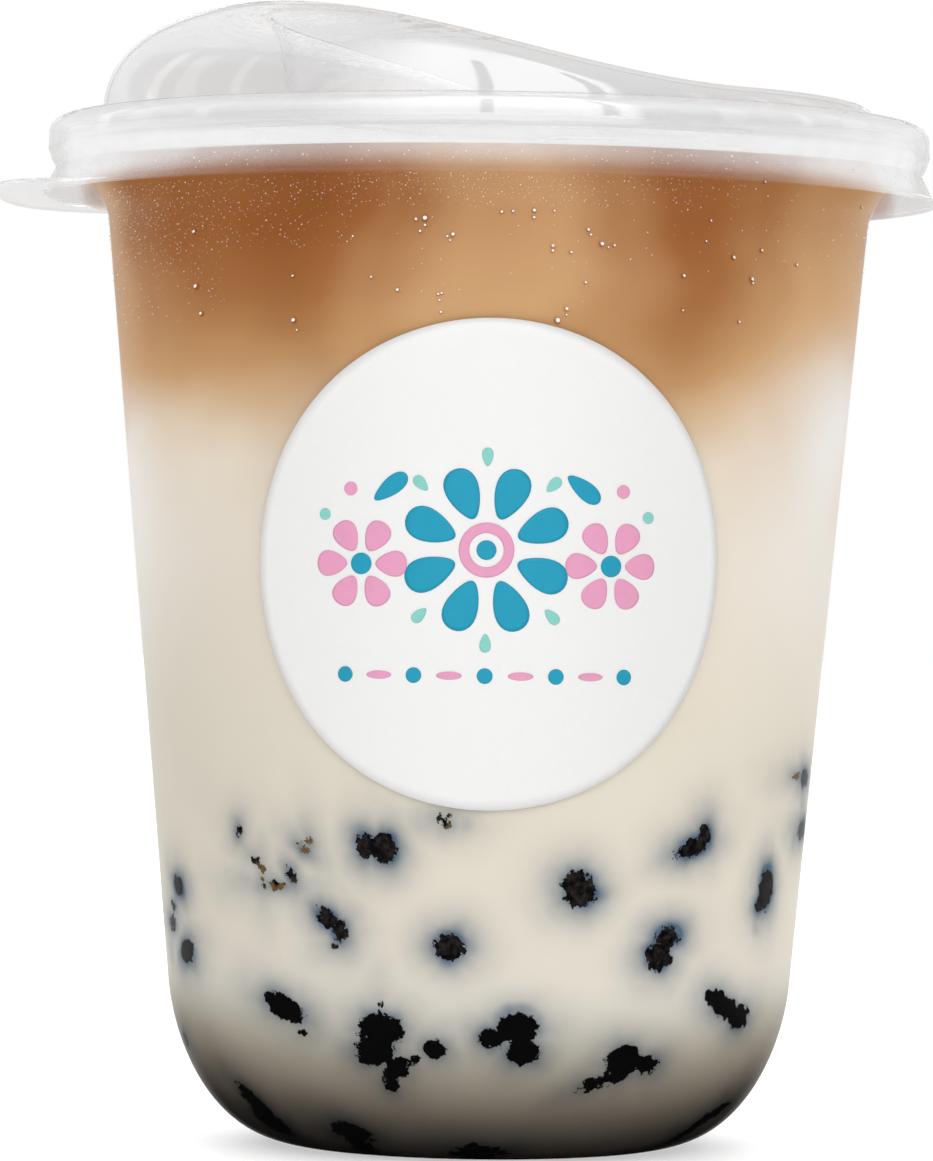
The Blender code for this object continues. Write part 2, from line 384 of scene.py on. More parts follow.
def make_cup():
    material, tree = new_material("clear polypropylene cup")
    clear = add(tree, "BsdfTransparent", {"Color": CUP_TINT})
    gloss = add(tree, "BsdfGlossy", {"Color": WHITE, "Roughness": 0.04})
    show(tree, layered(tree, edge_gloss(tree, CUP_GLOSS), clear, gloss))
    cup = make_piece("clear_cup", turned(cup_profile(), CUP_STEPS), material)
    thicken(cup, CUP_WALL)
    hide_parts("cup")


make_cup()


# The tapioca pearls: cooked brown-black balls about 8 mm across that lie in the milk against the wall.
# Where one presses on the plastic it leaves a ragged black patch, with a bluish shade in the milk round it.
PEARL_RADIUS = 0.0040
PEARL_SEED = 11
PEARL_COLOUR = srgb(22, 17, 16)
PEARL_SIZES = (0.94, 1.04)
PEARL_SQUASH = (0.88, 0.98)
PEARL_CLEARANCE = 1.03
PEARL_ROUNDS = 3
PEARL_TRIES = 40
BACK_PEARLS = 24
BACK_HALF_TURN = 92
BACK_HEIGHTS = (0.004, 0.036)
BACK_SPACING = 0.0085
BACK_PATCHES = (1, 2, 2, 3)
BACK_PATCH_SIZES = (0.8, 1.9)
BACK_PATCH_AWAY = (1.7, 1.4)
BACK_PATCH_FLATNESS = (0.6, 1.0)
BACK_PATCH_LEAN = 40

# One row a pearl: its turn to the right of the front in degrees and its height in mm, then its patches on
# the wall, each with its place from there, half width, half height and lean in mm and degrees.
FRONT_PEARLS = (
    (-37.2, 31, ((-5.4, 3.2, 0.48, 0.55, -20), (-2.8, 0.1, 0.74, 0.28, -40),
               (-2.3, -1.1, 0.29, 0.61, 0), (-0.4, -2.2, 1.3, 0.33, 0),
               (1.6, -1.2, 0.47, 0.77, 20), (3.4, 1.6, 0.71, 0.38, -30), (4.2, 2.4, 0.32, 0.49, 0))),
    (-17.9, 33.1, ((-1.2, 0.1, 1, 1.3, 0), (0.8, -0.1, 1.3, 1.5, 0))),
    (-6.3, 36.1, ((-0.2, 0.2, 0.71, 0.33, 20), (0.4, -0.5, 0.44, 0.27, 0))),
    (-70.6, 26.2, ((1.4, 1.7, 1.4, 1, -15), (-0.8, -0.6, 0.81, 0.57, 0), (-1.8, -2.4, 1.3, 0.74, 0))),
    (-66.1, 20.8, ((0, 0.2, 1.8, 1.2, 10),)),
    (-26.2, 24.9, ((-0.6, 0.7, 1.4, 0.88, -35), (0.7, -0.5, 0.84, 1.1, 0), (0.1, -2, 0.49, 0.33, 0))),
    (-5.2, 23.1, ((0, 0, 1.6, 1.4, 0),)),
    (-37.2, 16.1, ((-0.1, 0.1, 2.6, 1.3, -20), (2, -2.5, 0.6, 0.28, 0))),
    (-17.9, 12.7, ((0, 1.7, 2.4, 1.7, 0), (-0.7, -0.6, 2.2, 1.5, 0), (1.4, -2.4, 1.5, 0.99, 35),
               (0.6, -4, 0.8, 0.77, 0), (-0, 3.6, 0.29, 0.76, 0))),
    (-9, 12.2, ((0.5, 0.3, 1.1, 0.98, 0), (-1.6, -0.9, 0.78, 0.44, 30))),
    (6.2, 13.8, ((-2.3, 0, 1.3, 1.1, 0), (0.4, 1, 2.1, 1.5, 0), (1, -1.5, 1.7, 1.3, 0))),
    (27.9, 10.6, ((-0, 0.8, 2.1, 1.5, 0), (3, 0.2, 1.3, 0.99, 0), (-0.6, -0.9, 1.8, 0.77, 20),
               (-2.9, -1.7, 1.6, 0.75, 15))),
    (16.8, 29.2, ((-0.2, 0.7, 1.5, 1.2, 0), (0.2, -0.6, 1.7, 1.3, 0))),
    (39.4, 33.5, ((-0.3, -0.2, 1.7, 1, 15), (1.2, 0.9, 0.9, 1.2, 0), (-1.6, -0.7, 0.97, 0.5, 20))),
    (60.3, 28.3, ((0.2, 0.3, 1.6, 2.2, 8), (-0.8, -1.3, 1, 0.9, 0))),
    (33.5, 22.9, ((0.7, 1.2, 1.5, 1.1, 0), (-0.3, -0.9, 1.6, 1.4, 0), (-1.4, 0.1, 0.38, 0.44, 0))),
    (51.3, 16.2, ((-1.3, 0.6, 2.2, 1.2, -30), (2.4, -1, 1.9, 1.3, 0), (0.6, -0.2, 1.4, 1.1, -20),
               (-3.3, 1.5, 0.7, 0.7, 0))),
    (74.5, 40, ((0.9, -0.1, 2.1, 0.9, 0), (-2.8, 0.2, 1.1, 0.4, 0))),
    (78.8, 34.4, ((0, 0, 2.6, 1, 0),)),
    (-53, 4.5, ((-0.1, 1, 2.5, 1.2, -45), (0.2, -0.8, 2.4, 1.5, -20))),
    (-29.3, 2.6, ((-0, 0.5, 2.2, 1.2, -10), (0.1, -1.1, 1.5, 0.78, 0))),
    (0.2, 1.4, ((0.1, -0.2, 2.7, 0.8, 0), (-0.7, 0.6, 0.61, 0.39, 0))),
    (59.9, 3.9, ((-1, -0.4, 2.4, 0.9, 45), (1.2, 0.9, 2.2, 0.8, 25))),
    (-76.5, 11.3, ((0, 0, 1.1, 0.85, 20),)),
)

# Faint shadows of pearls that lie deeper in the milk: a turn and a height, their half sizes, and how strong.
DEEP_SHADOWS = (
    (6.9, 15.6, 2.4, 1.6, 0.85), (11.6, 27.2, 1.8, 1.8, 0.22), (-3.5, 35.6, 1.2, 1.0, 0.45),
    (58.6, 25.1, 1.3, 1.4, 0.45), (56.0, 29.3, 1.0, 1.6, 0.35), (-27.4, 26.0, 2.6, 1.6, 0.30),
    (77.0, 37.5, 2.0, 2.4, 0.50), (-76.0, 22.0, 2.0, 3.0, 0.40), (118, 21, 2.6, 2.2, 0.45),
    (152, 30, 2.4, 2.0, 0.35), (-160, 14, 2.8, 2.0, 0.45), (-121, 32, 2.2, 2.4, 0.40),
)


def face_radius(profile, height):
    """The radius at a height on a profile that falls from its rim to its base."""
    for (r0, z0), (r1, z1) in zip(profile, profile[1:]):
        if z1 <= height <= z0 and z1 < z0:
            return r0 + (r1 - r0) * (z0 - height) / (z0 - z1)
    return profile[-1][0]


def back_pearls(profile):
    """Pearls round the side that faces away, laid by chance but never on each other."""
    chance = random.Random(PEARL_SEED)
    away_right, away_up = BACK_PATCH_AWAY
    placed = []
    rows = []
    while len(rows) < BACK_PEARLS:
        turn = 180 + chance.uniform(-BACK_HALF_TURN, BACK_HALF_TURN)
        height = chance.uniform(*BACK_HEIGHTS)
        across = math.radians(turn) * face_radius(profile, height)
        if any(math.hypot(across - a, height - h) < BACK_SPACING for a, h in placed):
            continue
        placed.append((across, height))
        patches = []
        for _ in range(chance.choice(BACK_PATCHES)):
            size = chance.uniform(*BACK_PATCH_SIZES)
            patches.append((chance.uniform(-away_right, away_right), chance.uniform(-away_up, away_up),
                            size, size * chance.uniform(*BACK_PATCH_FLATNESS),
                            chance.uniform(-BACK_PATCH_LEAN, BACK_PATCH_LEAN)))
        rows.append((turn, height * 1000, tuple(patches)))
    return rows


def resting_place(profile, height, size):
    """The radius and the height of a ball's centre that lies against the wall, clear of it everywhere."""
    height = max(height, profile[-1][1] + size)
    reach = face_radius(profile, height) - size
    while min(math.hypot(reach - r, height - z) for r, z in profile) < size:
        reach -= size / PEARL_TRIES
    return reach, height


def around(radius, way, height):
    """A point in a direction round the Z axis, in radians from the X axis."""
    return Vector((radius * math.cos(way), radius * math.sin(way), height))


def add_ball(grid, place, size, rounds):
    return bmesh.ops.create_icosphere(grid, subdivisions=rounds, radius=size,
                                      matrix=Matrix.Translation(place))["verts"]


def make_pearls(rows, profile):
    material, tree = new_material("tapioca")
    show(tree, add(tree, "BsdfPrincipled", {"Base Color": PEARL_COLOUR, "Roughness": 0.25,
                                            "Subsurface Weight": 0.0}))
    chance = random.Random(PEARL_SEED + 1)
    grid = bmesh.new()
    for turn, height, _ in rows:
        size = PEARL_RADIUS * chance.uniform(*PEARL_SIZES)
        reach, height = resting_place(profile, height / 1000, size * PEARL_CLEARANCE)
        place = around(reach, math.radians(turn - 90), height)
        ball = add_ball(grid, place, size, PEARL_ROUNDS)
        bmesh.ops.scale(grid, vec=(1, 1, chance.uniform(*PEARL_SQUASH)), space=Matrix.Translation(-place),
                        verts=ball)
    make_piece("tapioca_pearls", grid, material)


# The drink: warm white milk with coffee poured on top of it. They blend over 15 mm, and the coffee hangs
# in lighter and darker clouds. Both reach just into the wall, so the plastic wets them all over.
DRINK_INTO_WALL = 0.0003
MILK_TOP = 0.0779
DRINK_TOP = 0.1042
DRINK_TOP_RADIUS = 0.0445
DRINK_STEPS = 480
DRINK_RISE = 0.0004
PLAIN_RISE = 0.0012
STAINED_BELOW = 0.046
FLOOR_RINGS = 12
# The colours by height. Below about 20 mm they darken to near black at the base: painted shade of the lower
# corner, and partly the pearls lying low there, seen through the milk.
DRINK_COLOURS_AND_BOTTOM_SHADE = (
    (0.0000, srgb(41, 38, 35)), (0.0021, srgb(62, 57, 51)), (0.0033, srgb(79, 73, 65)),
    (0.0046, srgb(94, 87, 77)), (0.0070, srgb(127, 118, 106)), (0.0094, srgb(154, 146, 132)),
    (0.0119, srgb(181, 175, 161)), (0.0143, srgb(203, 198, 186)), (0.0168, srgb(218, 213, 201)),
    (0.0195, srgb(227, 220, 207)), (0.0300, srgb(227, 220, 205)), (0.0450, srgb(225, 217, 201)),
    (0.0640, srgb(229, 219, 204)), (0.0715, srgb(226, 214, 195)), (0.0750, srgb(219, 199, 173)),
    (0.0785, srgb(206, 174, 138)), (0.0820, srgb(190, 147, 103)), (0.0855, srgb(175, 127, 82)),
    (0.0900, srgb(161, 107, 64)), (0.0960, srgb(153, 96, 53)), (0.1042, srgb(149, 95, 56)),
)
COFFEE_LIGHT = srgb(211, 170, 124)
COFFEE_DARK = srgb(126, 70, 30)
MILK_WHITE = srgb(240, 238, 233)
HALO_COLOUR = srgb(94, 122, 153)
STAIN_COLOUR = srgb(11, 10, 11)
STAIN_BROWN = srgb(44, 39, 37)
STAIN_TAN = srgb(124, 97, 62)

# How the layers lie: where the coffee starts, how far its clouds move the blend, how the blend lifts on the
# right, and how the painted shade of the dark lower corner droops towards the sides. Turns are in radians
# here.
COFFEE_FROM_TO = (0.060, 0.078)
BLEND_WANDER = 0.010
BLEND_LIFT = 0.0078
LIFT_TURNS = (0.82, 1.90)
LIFT_SOFTNESS = 0.30
SHADED_CORNER_FROM_TO = (0.024, 0.014)
CORNER_SHADE_DROOP = 0.0056
DROOP_TURN = 0.08
DROOP_EVEN = 0.95
DROOP_MOST = -0.75
# Painted shading that makes the milk darker on the left and lighter on the right, how far the cream drifts,
# and where the milk turns whiter.
MILK_SIDE_SHADE = 0.08
CREAM_DRIFT = 0.20
WHITE_FROM_TO = (0.084, 0.074)

# How creamy the coffee hangs at each turn: below 0 it is darker. The turns are in degrees to the right of
# the front, with the cream near the top and then above the blend.
CLOUDS = (
    (-180, -0.20, 0.00), (-166, -0.30, -0.10), (-150, 0.30, 0.40), (-130, 0.50, 0.60), (-110, 0.00, 0.15),
    (-90, 0.40, 0.50), (-76, 0.56, 0.60), (-62, 0.10, 0.26), (-44, -0.10, 0.00), (-29, -0.50, -0.18),
    (-16, 0.12, 0.30), (-4, 0.54, 0.74), (8, 0.62, 0.80), (19, 0.22, 0.36), (31, -0.10, -0.02),
    (45, 0.10, 0.40), (56, 0.42, 0.80), (75, 0.62, 0.92), (90, 0.45, 0.65), (108, -0.20, 0.00),
    (128, 0.20, 0.35), (150, 0.60, 0.70), (180, -0.20, 0.00),
)
CLOUD_HEIGHTS = (88, 99)
CLOUD_WAVE = (2.4, 0.31, 0.05)
CLOUD_RIPPLE = (0.9, 0.73, 1.3)
SURFACE_CREAM = 0.25
SURFACE_EDGE = (0.72, 1.0)

# Where the milk is whiter: a turn and a height, their spans, and how much.
WHITE_SPOTS = (
    (-78, 70, 15, 16, 0.80), (-58, 66, 14, 10, 0.18), (66, 70, 20, 15, 0.75), (80, 78, 18, 8, 0.50),
    (120, 50, 20, 14, 0.50), (-130, 56, 18, 16, 0.55), (170, 66, 20, 12, 0.45),
)

# The pearls' patches and the shade round them: sizes are in mm, and what is higher is lit better.
NO_STAIN = 9.0
PEARL_SHADE = 0.22
PEARL_SHADE_REACH = 3.4
HALO_REACH = 1.5
HALO_LEAST = 0.5
DEEP_HALO = 0.7
DEEP_PEARL_HEIGHT = 20
DEEP_SHADOW_SIZE = 1.3
DEEP_SHADOW_FULLNESS = 4
TAN_ABOVE = 28
TAN_REACH = 0.4
THIN_PATCH = 0.45
TAN_SHARE = 0.65
TAN_FROM_TO = (0.46, 0.56)
FLECK_FROM_TO = (0.36, 0.72)
STAIN_EDGE = (-0.06, 0.08)
LIT_FROM_TO = (0.017, 0.023)
RAGGED_LOW = 1.9
RAGGED_HIGHER = 0.3
SHADE_LEAST = 0.45
SHADE_MORE = 1.1

# The noises: how fine, how many finer ones on top, how stretched, how rough and how far shifted.
EVEN = (1, 1, 1)
CLOUD_NOISE = (45, 2, (1, 1, 1.4))
DRIFT_NOISE = (55, 2, (1, 1, 1.2))
SHADE_NOISE = (300, 2)
RAGGED_NOISE = (1200, 4, EVEN, 0.66)
FLECK_NOISE = (1300, 3, EVEN, 0.65, (3, 1, 2))
TAN_NOISE = (520, 2, EVEN, 0.5, (1, 5, 2))


def on_piece(tree):
    """Where a point is on its piece, in metres."""
    return add(tree, "TexCoord").outputs["Object"]


def field(tree, name):
    """A value that the mesh keeps at its vertices."""
    return add(tree, "Attribute", attribute_name=name).outputs["Fac"]


def mixed(tree, factor, a, b, **settings):
    made = add(tree, "Mix", {0: factor, 6: a, 7: b}, data_type="RGBA", **settings)
    return made.outputs[2]


def ramp(tree, value, stops):
    """A colour for each value, from stops of a value and a colour."""
    low, high = stops[0][0], stops[-1][0]
    share = add(tree, "MapRange", {"Value": value, "From Min": low, "From Max": high})
    made = add(tree, "ValToRGB", {0: share.outputs["Result"]})
    elements = made.color_ramp.elements
    elements.remove(elements[-1])
    for i, (stop, colour) in enumerate(stops):
        place = (stop - low) / (high - low)
        element = elements[0] if i == 0 else elements.new(place)
        element.position = place
        element.color = colour
    return made.outputs["Color"]


def noise(tree, scale, detail, stretch=EVEN, roughness=0.5, shift=(0, 0, 0), where=None):
    """Soft random values of 0 to 1, a length of 1 / scale metres apart, on the piece or where it is told."""
    spread = add(tree, "Mapping", {"Vector": where or on_piece(tree), "Scale": stretch, "Location": shift})
    made = add(tree, "TexNoise", {"Vector": spread.outputs[0], "Scale": scale, "Detail": detail,
                                  "Roughness": roughness})
    return made.outputs["Fac"]


def sway(tree, *look):
    """Soft random values round 0."""
    return calc(tree, "SUBTRACT", noise(tree, *look), 0.5)


def smooth(value, low, high):
    """0 at low and 1 at high with a smooth S between, for numbers and for arrays."""
    share = np.clip((value - low) / (high - low), 0, 1)
    return share * share * (3 - 2 * share)


def turns_and_heights(points):
    """Each point's turn to the right of the front in degrees, and its height in mm."""
    return np.degrees(np.arctan2(points[:, 0], -points[:, 1])), points[:, 2] * 1000


def turned_from(turns, turn):
    """How far turns are from one of them, the short way round."""
    return (turns - turn + 180) % 360 - 180


def stain_fields(points, rows):
    """Each point's distance in mm from the pearls' patches, the pearls' shade in the milk, and their tan."""
    turns, heights = turns_and_heights(points)
    radii = np.hypot(points[:, 0], points[:, 1]) * 1000
    nearest = np.full(len(points), NO_STAIN)
    shade = np.zeros(len(points))
    tan = np.zeros(len(points))
    for turn, height, patches in rows:
        across = np.radians(turned_from(turns, turn)) * radii
        up = heights - height
        shade = np.maximum(shade, PEARL_SHADE * np.exp(-(np.hypot(across, up) / PEARL_SHADE_REACH) ** 2))
        for right, above, half_width, half_height, lean in patches:
            lean = math.radians(lean)
            along = (across - right) * math.cos(lean) + (up - above) * math.sin(lean)
            beside = (up - above) * math.cos(lean) - (across - right) * math.sin(lean)
            thinner = min(half_width, half_height)
            reach = (np.hypot(along / half_width, beside / half_height) - 1) * thinner
            nearest = np.minimum(nearest, reach)
            past = np.maximum(reach, 0)
            strength = min(1.0, HALO_LEAST + (1 - HALO_LEAST) * thinner)
            strength *= 1.0 if height > DEEP_PEARL_HEIGHT else DEEP_HALO
            shade = np.maximum(shade, strength * np.exp(-past / HALO_REACH))
            if thinner < THIN_PATCH and height > TAN_ABOVE:
                tan = np.maximum(tan, np.exp(-(past / TAN_REACH) ** 2))
    for turn, height, half_width, half_height, strength in DEEP_SHADOWS:
        across = np.radians(turned_from(turns, turn)) * radii
        size = np.hypot(across / half_width, (heights - height) / half_height) / DEEP_SHADOW_SIZE
        shade = np.maximum(shade, strength * np.exp(-size ** DEEP_SHADOW_FULLNESS))
    return nearest, shade, tan


def cream_field(points):
    """How creamy the coffee is at each point, with a smooth wave from each turn of the table to the next."""
    turns, heights = turns_and_heights(points)
    size, often, slant = CLOUD_WAVE
    wave = size * np.sin(heights * often + turns * slant)
    size, often, start = CLOUD_RIPPLE
    turns = turned_from(turns + wave + size * np.sin(heights * often + start), 0)
    table = np.array(CLOUDS)
    after = np.clip(np.searchsorted(table[:, 0], turns), 1, len(table) - 1)
    share = smooth(turns, table[after - 1, 0], table[after, 0])
    values = table[after - 1, 1:] + (table[after, 1:] - table[after - 1, 1:]) * share[:, None]
    cream = values[:, 1] + (values[:, 0] - values[:, 1]) * smooth(heights, *CLOUD_HEIGHTS)
    reach = np.hypot(points[:, 0], points[:, 1]) / DRINK_TOP_RADIUS
    on_top = heights > (DRINK_TOP - DRINK_RISE / 8) * 1000
    return SURFACE_CREAM + (cream - SURFACE_CREAM) * np.where(on_top, smooth(reach, *SURFACE_EDGE), 1)


def white_field(points):
    turns, heights = turns_and_heights(points)
    white = np.zeros(len(points))
    for turn, height, half_turn, half_height, strength in WHITE_SPOTS:
        away = turned_from(turns, turn) / half_turn
        white += strength * np.exp(-away ** 2 - ((heights - height) / half_height) ** 2)
    return white


def mark_drink(piece, rows):
    """Keeps the fields on the piece as attributes."""
    points = np.zeros(len(piece.data.vertices) * 3)
    piece.data.vertices.foreach_get("co", points)
    points = points.reshape(-1, 3)
    fields = dict(zip(("stain", "shade", "tan"), stain_fields(points, rows)))
    fields.update(cream=cream_field(points), white=white_field(points))
    for name, values in fields.items():
        attribute = piece.data.attributes.new(name, "FLOAT", "POINT")
        attribute.data.foreach_set("value", values.astype(np.float32))


def blend_height(tree, place, turn, in_coffee):
    """The height that picks the drink's colour, moved by the clouds, the lift and the droop, which lowers it
    near the base towards the sides so that the painted shade of the lower corner reaches higher there.
    """
    wander = times(tree, sway(tree, *CLOUD_NOISE), BLEND_WANDER, in_coffee)
    lift = times(tree, band(tree, turn, *LIFT_TURNS, LIFT_SOFTNESS), BLEND_LIFT, in_coffee)
    away = calc(tree, "COSINE", calc(tree, "SUBTRACT", turn, DROOP_TURN))
    away = calc(tree, "MAXIMUM", calc(tree, "SUBTRACT", away, DROOP_EVEN), DROOP_MOST)
    # Painted shade: the dark lower corner reaches higher away from the front.
    droop = times(tree, away, CORNER_SHADE_DROOP, rise(tree, place["Z"], *SHADED_CORNER_FROM_TO))
    return calc(tree, "ADD", calc(tree, "ADD", place["Z"], wander), calc(tree, "SUBTRACT", droop, lift))


def clouded(tree, turn, in_coffee, colour):
    """The drink's colour with its creamy and dark clouds, and with painted shading that makes the milk a
    little darker on the left and lighter on the right.
    """
    cream = line(tree, sway(tree, *DRIFT_NOISE), CREAM_DRIFT, field(tree, "cream"))
    cream = times(tree, cream, in_coffee)
    colour = mixed(tree, calc(tree, "MAXIMUM", cream, 0.0, clamp=True), colour, COFFEE_LIGHT)
    colour = mixed(tree, calc(tree, "MULTIPLY", cream, -1.0, clamp=True), colour, COFFEE_DARK)
    # Painted shading: the milk darker on the left and lighter on the right.
    side = line(tree, calc(tree, "SINE", turn), MILK_SIDE_SHADE, 1.0 - MILK_SIDE_SHADE / 2)
    side = add(tree, "CombineColor", {0: side, 1: side, 2: side}).outputs[0]
    in_milk = calc(tree, "SUBTRACT", 1.0, in_coffee)
    return mixed(tree, in_milk, colour, mixed(tree, 1.0, colour, side, blend_type="MULTIPLY"))


def stained(tree, place, colour):
    """The drink's colour under the pearls' bluish shade and their ragged black patches, whose brown flecks
    are partly painted light.
    """
    soft = line(tree, noise(tree, *SHADE_NOISE), SHADE_MORE, SHADE_LEAST)
    shade = calc(tree, "MULTIPLY", field(tree, "shade"), soft, clamp=True)
    colour = mixed(tree, shade, colour, mixed(tree, 1.0, colour, HALO_COLOUR, blend_type="MULTIPLY"))
    higher = rise(tree, place["Z"], *LIT_FROM_TO)
    ragged = times(tree, sway(tree, *RAGGED_NOISE), line(tree, higher, RAGGED_HIGHER, RAGGED_LOW))
    edge = calc(tree, "ADD", ragged, field(tree, "stain"))
    black = calc(tree, "SUBTRACT", 1.0, rise(tree, edge, *STAIN_EDGE))
    # Brown flecks in the black, more of them where a patch stands higher: partly the pearls' own mottle,
    # partly painted light.
    lit_fleck = times(tree, rise(tree, noise(tree, *FLECK_NOISE), *FLECK_FROM_TO), higher)
    tan = rise(tree, noise(tree, *TAN_NOISE), *TAN_FROM_TO)
    tan = times(tree, field(tree, "tan"), tan, TAN_SHARE)
    inside = mixed(tree, tan, mixed(tree, lit_fleck, STAIN_COLOUR, STAIN_BROWN), STAIN_TAN)
    return mixed(tree, black, colour, inside)


def make_drink_material():
    material, tree = new_material("coffee on milk")
    place = add(tree, "SeparateXYZ", {0: on_piece(tree)}).outputs
    turn = calc(tree, "ARCTAN2", place["X"], times(tree, place["Y"], -1.0))
    in_coffee = rise(tree, place["Z"], *COFFEE_FROM_TO)
    height = blend_height(tree, place, turn, in_coffee)
    colour = clouded(tree, turn, in_coffee, ramp(tree, height, DRINK_COLOURS_AND_BOTTOM_SHADE))
    white = calc(tree, "MULTIPLY", field(tree, "white"), rise(tree, height, *WHITE_FROM_TO), clamp=True)
    colour = stained(tree, place, mixed(tree, white, colour, MILK_WHITE))
    show(tree, add(tree, "BsdfPrincipled", {"Base Color": colour, "Roughness": 0.45,
                                            "Specular IOR Level": 0.0}))
    return material


def drink_wall():
    """The side of the drink from the rim down, just inside the cup's wall."""
    return inner_face(cup_profile()[RIM_CURL_POINTS + 1:], CUP_WALL - DRINK_INTO_WALL)


def drink_profile(low, high):
    """The drink's outline between two heights: its top, its side in even rows, and its floor."""
    wall = drink_wall()
    bottom = max(low, wall[-1][1])
    side = [(face_radius(wall, high), high)]
    for (r0, z0), (r1, z1) in zip(wall, wall[1:]):
        if z1 >= high or z0 <= bottom:
            continue
        rise_by = DRINK_RISE if z0 < STAINED_BELOW else PLAIN_RISE
        rows = max(1, round(math.hypot(r1 - r0, z1 - z0) / rise_by))
        for i in range(1, rows + 1):
            radius, height = r0 + (r1 - r0) * i / rows, z0 + (z1 - z0) * i / rows
            if bottom < height < high - DRINK_RISE / 3:
                side.append((radius, height))
    if low > bottom - DRINK_RISE / 100:
        side.append((face_radius(wall, bottom), bottom))
    ends = [i / FLOOR_RINGS for i in range(FLOOR_RINGS)]
    top = [(side[0][0] * share, high) for share in ends]
    floor = [(side[-1][0] * share, bottom) for share in reversed(ends)]
    return [*top, *side, *floor]


def make_layer(name, node, low, high, material, rows):
    layer = make_piece(name, turned(drink_profile(low, high), DRINK_STEPS), material)
    mark_drink(layer, rows)
    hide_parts(node)


def make_drink():
    rows = [*FRONT_PEARLS, *back_pearls(drink_wall())]
    material = make_drink_material()
    make_layer("milk", "milk_layer", 0.0, MILK_TOP, material, rows)
    make_layer("coffee", "coffee_layer", MILK_TOP, DRINK_TOP, material, rows)
    make_pearls(rows, inner_face(cup_profile(), CUP_WALL))


make_drink()


# The lid: thin clear thermoformed plastic. A lopsided dome leaves a drinking side, a ring clips over the
# cup's rim, and a skirt below it spreads into a flat thumb tab. The skirt is fogged with condensation,
# and the dome's crest is scuffed where lids rub together in their stack.
LID_WALL = 0.0004
LID_STEPS = 192
LID_RADIUS = 0.0472
LID_TOP = 0.1093
LID_CORNER = 0.0016
LID_CORNER_POINTS = 10
LID_SIDE_FOOT = 0.1060
LID_BELLY = (0.0469, 0.1050)
LID_WAIST = (0.0464, 0.1041)
SKIRT_FOOT = (0.04775, 0.1014)
SKIRT_LIP = 0.0003
GUTTER_OUTER = 0.0429
GUTTER_FLOOR = 0.1066
GUTTER_CORNER = 0.0007
GUTTER_CORNER_POINTS = 6
GUTTER_FILLET = 0.0004
TAB_CENTRE = 0.030
TAB_REACH = 0.0224
TAB_HALF_WIDTH = 0.028
TAB_SQUARENESS = 3.5
TAB_RINGS = 8
TAB_SEARCH = 0.020
TAB_SEARCH_STEPS = 30
DOME_RADIUS = 0.0415
DOME_BASE = 0.1093
DOME_FULLNESS = 2.37
CREST_CENTRE = 0.008
CREST_LENGTH = 0.0317
CREST_HALF_WIDTH = 0.0363
CREST_LOW = 0.1113
CREST_RISE = 0.00965
CREST_FALL_START = -0.0285
CREST_FALL_LENGTH = 0.0546
WELL_FLOOR = 0.1104
WELL_FLAT = 0.90
WELL_FLOOR_RINGS = 6
WELL_WALL_RINGS = 18
DOME_RINGS = 26
CREST_MERGE = 1e-6

# The lid's plastic: its tint, how little it bends light, its gloss as the cup's, how wavy it is, and the
# share of the gloss that the well keeps.
LID_TINT = (0.979, 0.982, 0.986, 1)
LID_BEND = 1.002
LID_GLOSS = (0.05, 0.22, 4.0)
LID_WAVES = (150, 2, (1, 1, 0.25))
LID_BARE = 0.96
WELL_DULLED = -0.65
WELL_FROM_TO = (1.0, 0.97)
UPPER_FROM_TO = (0.1040, 0.1056)

# Its haze: a little all over, more on the ring and under the tab, and fog on the skirt. The fog is denser
# at the front and at the sides, where it also comes lower, and clears at the far ends.
HAZE_COLOUR = (0.90, 0.905, 0.91, 1)
LID_HAZE = 0.03
RING_HAZE = 0.15
RING_LOW_HIGH = (0.1062, 0.1094)
RING_SOFTNESS = 0.0003
TAB_HAZE = 0.04
TAB_FROM_TO = (0.1016, 0.1013)
TAB_OUTSIDE = (0.1115, 0.1125)
SKIRT_FOG = 0.20
SKIRT_FOG_FROM_TO = (0.1009, 0.1041)
SKIRT_FOG_TOP = (0.1080, 0.1050)
SKIRT_SIDE_FOG = 5.0
SKIRT_SIDE_POWER = 4.0
SKIRT_SIDE_DROP = 0.0018
SKIRT_FRONT_FOG = 0.5
SKIRT_FRONT = (0.35, 0.0)
SKIRT_END_FOG = -0.9
SKIRT_ENDS = (0.91, 0.96)
FOG_NOISE = (180, 1)
FOG_MOTTLE = (0.5, 0.75)

# Its scuffs: fine scratches that run round the crest above a height, and a worn line along it.
SCUFF_UNDER_CREST = 0.24
SCUFF_IN_WELL = 0.05
SCUFF_FROM_TO = (0.1125, 0.1180)
SCRATCH = 0.50
SCRATCH_NOISE = (2400, 2, (0.06, 0.35, 1.0), 0.6)
SCRATCH_FROM_TO = (0.54, 0.62)
CREST_LINE = 0.45
CREST_LINE_POWER = 12.0


def crest_height(x):
    """The crest falls in an S from the drinking side to the low side."""
    return CREST_LOW + CREST_RISE * (1 - smooth(x, CREST_FALL_START, CREST_FALL_START + CREST_FALL_LENGTH))


def crest_distance(angle):
    """How far the crest's oval lies from the well's centre in a direction."""
    return 1 / math.hypot(math.cos(angle) / CREST_LENGTH, math.sin(angle) / CREST_HALF_WIDTH)


def dome_distance(angle):
    """How far the dome's round wall lies from the well's centre in a direction."""
    along = CREST_CENTRE * math.cos(angle)
    return -along + math.sqrt(along**2 - CREST_CENTRE**2 + DOME_RADIUS**2)


